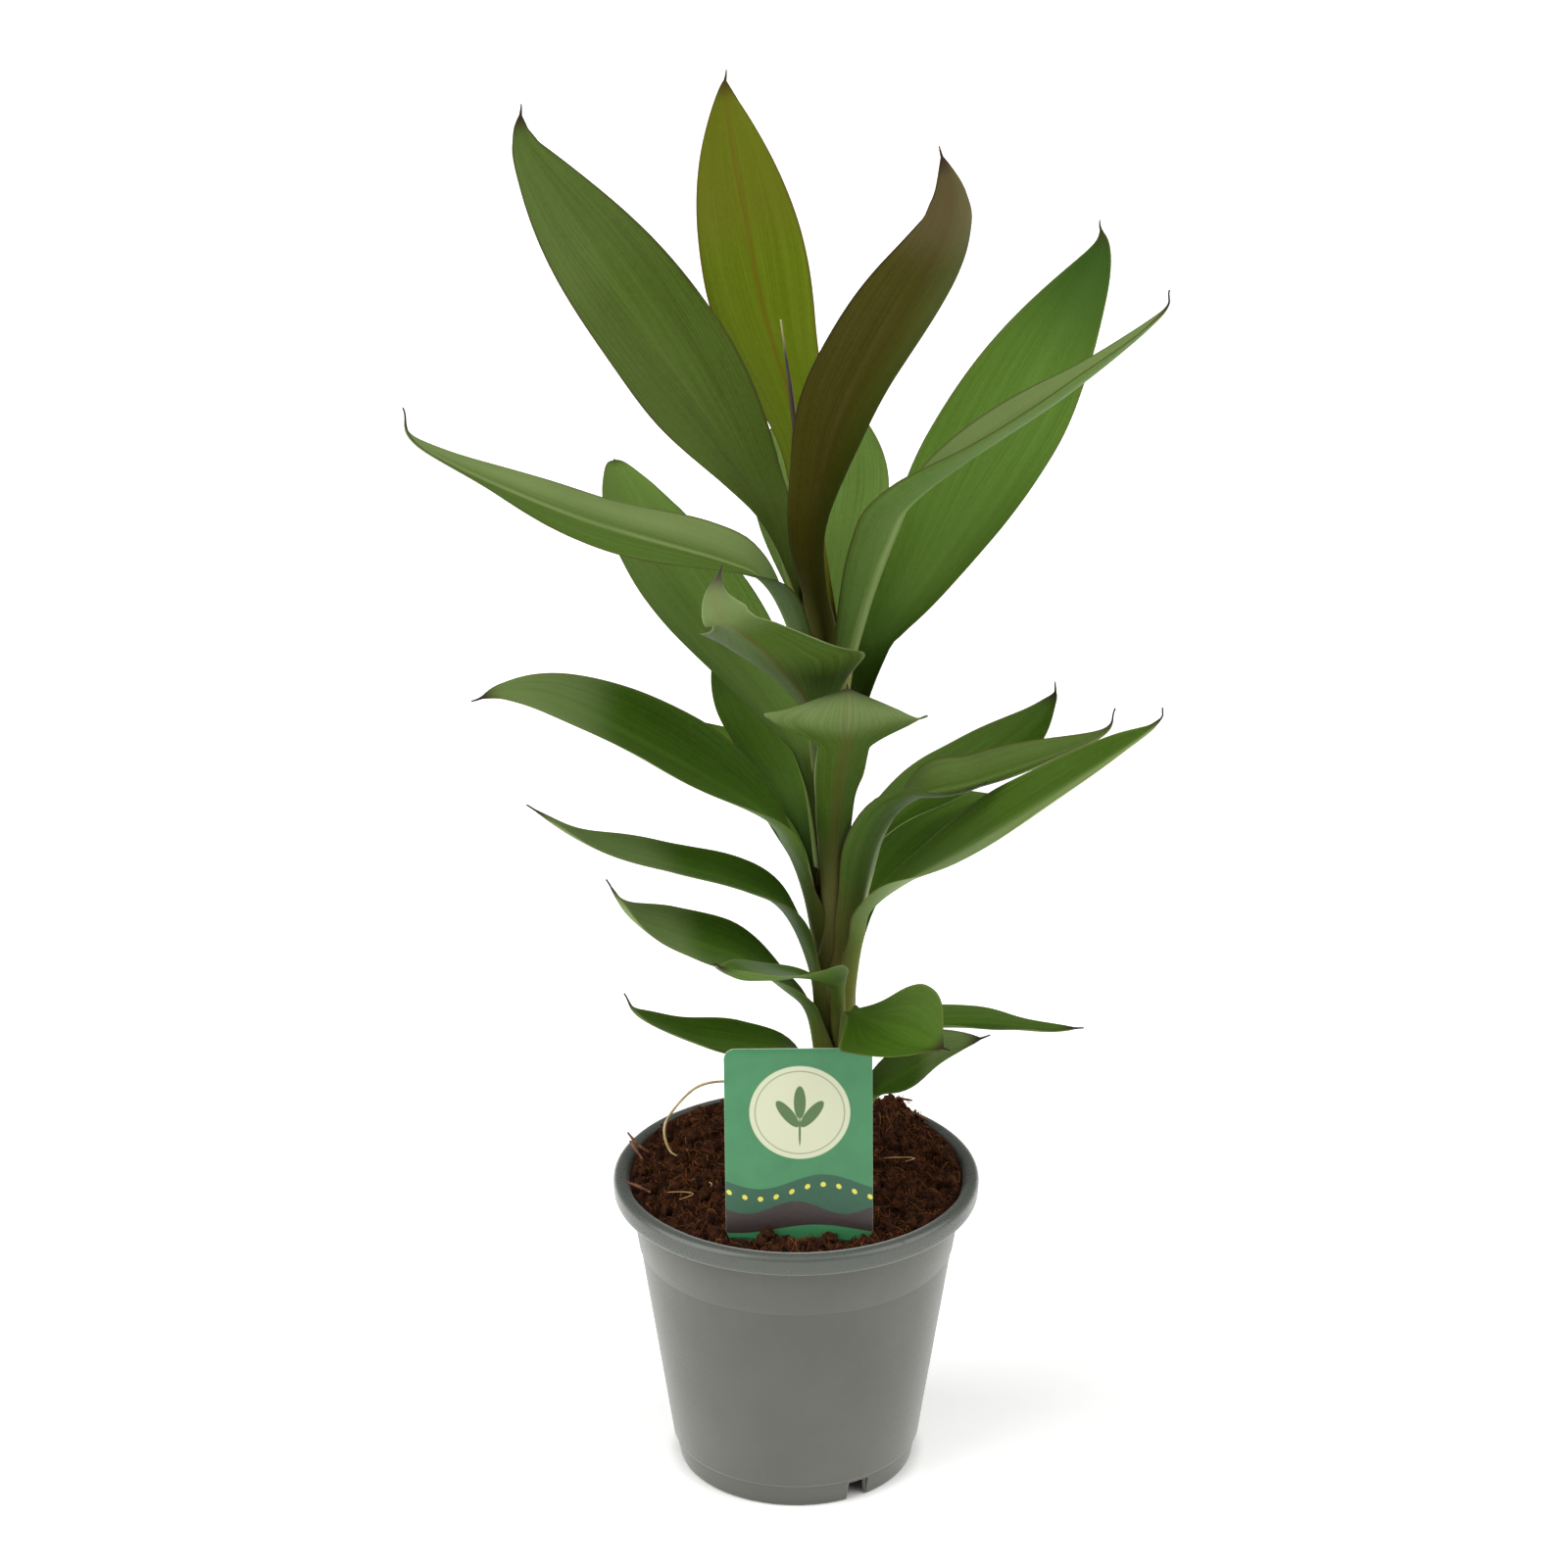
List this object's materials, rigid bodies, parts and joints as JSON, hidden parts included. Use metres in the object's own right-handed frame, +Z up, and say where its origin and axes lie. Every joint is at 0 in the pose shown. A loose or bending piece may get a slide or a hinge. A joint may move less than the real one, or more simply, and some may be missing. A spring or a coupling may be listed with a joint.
{
  "type": "potted ti plant",
  "caption": "Upright foliage plant with pointed, channelled leaves set spirally up a hidden cane, standing in soil in a round tapered nursery pot with a plain push-in label.",
  "frame": {"origin": "centre of the pot's foot, on the surface that the pot stands on", "axes": "+Z up through the pot, -Y towards the label and the picture's camera, +X to the right in the picture"},
  "size_m": [0.2302, 0.1686, 0.4621],
  "materials": {
    "pot": "satin",
    "soil": "loose and dull",
    "cane": "dull",
    "leaf": "satin",
    "young_leaf": "satin",
    "label": "smooth",
    "root_fibre": "dull"
  },
  "bodies": {
    "root": {"pot": "pot", "soil": "soil", "cane": "cane", "leaf_top_left": "leaf", "leaf_top_upright": "leaf", "leaf_top_front": "leaf", "leaf_top_back": "leaf", "leaf_upper_right_back": "leaf", "leaf_upper_right_folded": "leaf", "leaf_upper_left_arching": "leaf", "leaf_upper_left_back": "leaf", "leaf_upper_front_left": "leaf", "leaf_middle_front": "leaf", "leaf_middle_left_arching": "leaf", "leaf_middle_left_back": "leaf", "leaf_middle_right_back": "leaf", "leaf_middle_right_folded": "leaf", "leaf_middle_right_arching": "leaf", "leaf_lower_left_narrow": "leaf", "leaf_lower_left_broad": "leaf", "leaf_lower_front_left": "leaf", "leaf_lowest_left": "leaf", "leaf_lowest_front_right": "leaf", "leaf_lowest_right_narrow": "leaf", "leaf_lowest_right_drooping": "leaf", "leaf_middle_back": "leaf", "leaf_lower_back_left": "leaf", "leaf_lower_back_right": "leaf", "leaf_spear": "young_leaf", "label": "label", "root_fibre": "root_fibre"}
  },
  "joints": []
}
